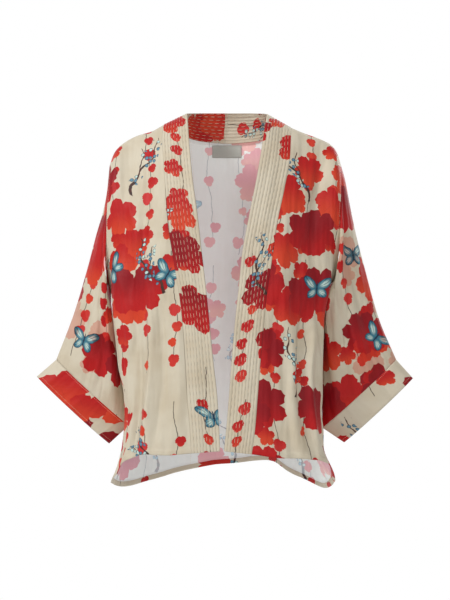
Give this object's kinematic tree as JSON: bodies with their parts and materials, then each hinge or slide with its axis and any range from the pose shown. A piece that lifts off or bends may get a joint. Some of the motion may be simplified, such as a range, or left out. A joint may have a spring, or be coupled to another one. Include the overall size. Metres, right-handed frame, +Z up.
{
  "type": "kimono jacket",
  "caption": "Short open-front kimono jacket in thin printed cloth, worn shape with no wearer, wide sleeves with turned cuff bands and one long stitched front and neck band.",
  "frame": {"origin": "middle of the shoulder line, where the garment is held on a wearer's shoulders", "axes": "+X to the wearer's left (the right of the picture), +Y from the front to the back, +Z up"},
  "size_m": [0.6894, 0.2522, 0.6986],
  "materials": {
    "printed_cloth": "thin smooth cloth with a red and cream print",
    "band_cloth": "the same cloth, doubled and row-stitched",
    "cuff_cloth": "the same cloth, doubled",
    "label_cloth": "woven tab, blank"
  },
  "bodies": {
    "root": {"front_right": "printed_cloth", "front_left": "printed_cloth", "back": "printed_cloth", "sleeve_right": "printed_cloth", "sleeve_left": "printed_cloth", "gusset_right": "printed_cloth", "gusset_left": "printed_cloth", "cuff_right": "cuff_cloth", "cuff_left": "cuff_cloth", "neck_band": "band_cloth", "label": "label_cloth"}
  },
  "joints": []
}
